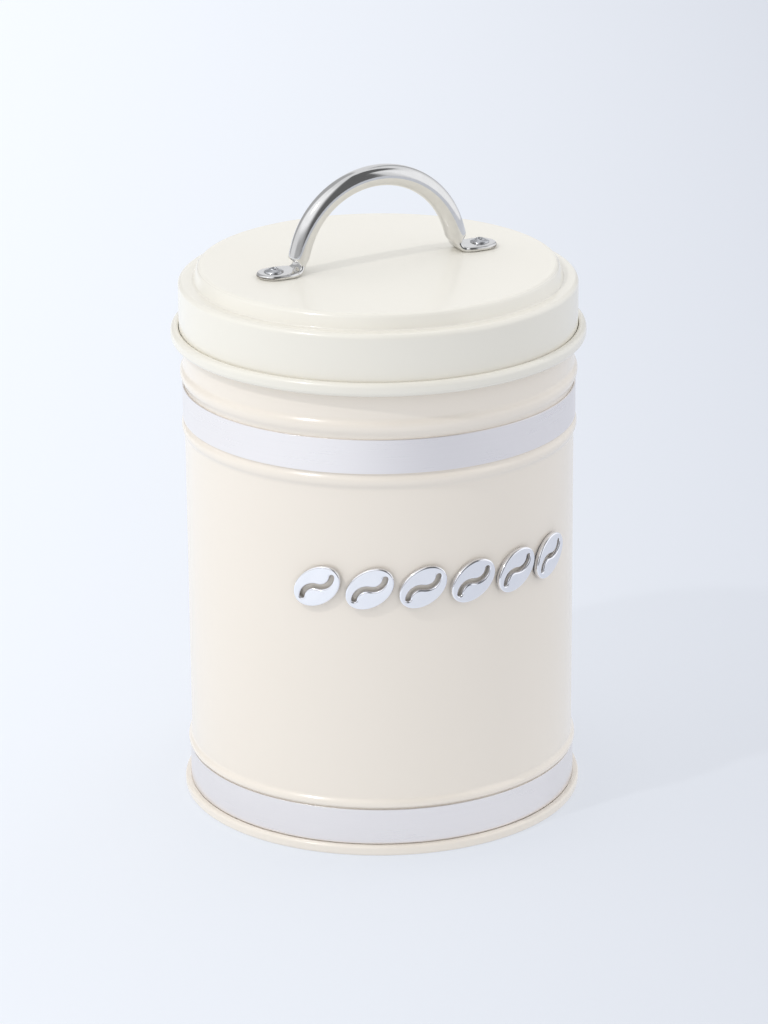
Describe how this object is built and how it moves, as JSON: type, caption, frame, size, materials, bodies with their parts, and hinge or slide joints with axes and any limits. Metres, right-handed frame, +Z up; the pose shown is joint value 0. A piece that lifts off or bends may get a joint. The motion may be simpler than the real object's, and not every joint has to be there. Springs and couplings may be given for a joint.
{
  "type": "coffee tin",
  "caption": "Round enamelled steel coffee tin with satin steel bands, raised bean emblems and a lift-off lid with a riveted tube handle.",
  "frame": {"origin": "centre of the base, on the surface the tin stands on", "axes": "+Z up along the tin's axis; -Y is the front, with the row of emblems; +X is to the right seen from the front"},
  "size_m": [0.111, 0.111, 0.1748],
  "materials": {
    "body_enamel": "warm cream powder coat, semi-gloss",
    "lid_enamel": "cream powder coat, semi-gloss",
    "stainless_strip": "satin stainless strip",
    "polished_tube": "polished stainless tube",
    "rivet_alloy": "bright aluminium",
    "mandrel_steel": "broken steel wire",
    "emblem_chrome": "bright plated plastic",
    "foam_tape": "dark grey foam with adhesive on both faces",
    "silicone": "translucent white silicone",
    "sealing_compound": "cured seaming compound"
  },
  "bodies": {
    "canister": {"body_wall": "body_enamel", "base_pan": "body_enamel", "base_seam_sealant": "sealing_compound", "lower_band": "stainless_strip", "upper_band": "stainless_strip", "emblem_bean_1": "emblem_chrome", "emblem_bean_2": "emblem_chrome", "emblem_bean_3": "emblem_chrome", "emblem_bean_4": "emblem_chrome", "emblem_bean_5": "emblem_chrome", "emblem_bean_6": "emblem_chrome", "emblem_pad_1": "foam_tape", "emblem_pad_2": "foam_tape", "emblem_pad_3": "foam_tape", "emblem_pad_4": "foam_tape", "emblem_pad_5": "foam_tape", "emblem_pad_6": "foam_tape"},
    "seal": {"lid_seal": "silicone"},
    "lid": {"lid_shell": "lid_enamel", "handle_tube": "polished_tube", "rivet_left": "rivet_alloy", "rivet_right": "rivet_alloy", "rivet_mandrel_left": "mandrel_steel", "rivet_mandrel_right": "mandrel_steel"}
  },
  "joints": [
    {"name": "lid_lift", "type": "slide", "parent": "canister", "child": "seal", "axis": [0, 0, 1], "range_m": [0, 0.12]},
    {"name": "lid_turn", "type": "hinge", "parent": "seal", "child": "lid", "pos_m": [0, 0, 0.1419], "axis": [0, 0, 1], "continuous": true}
  ]
}
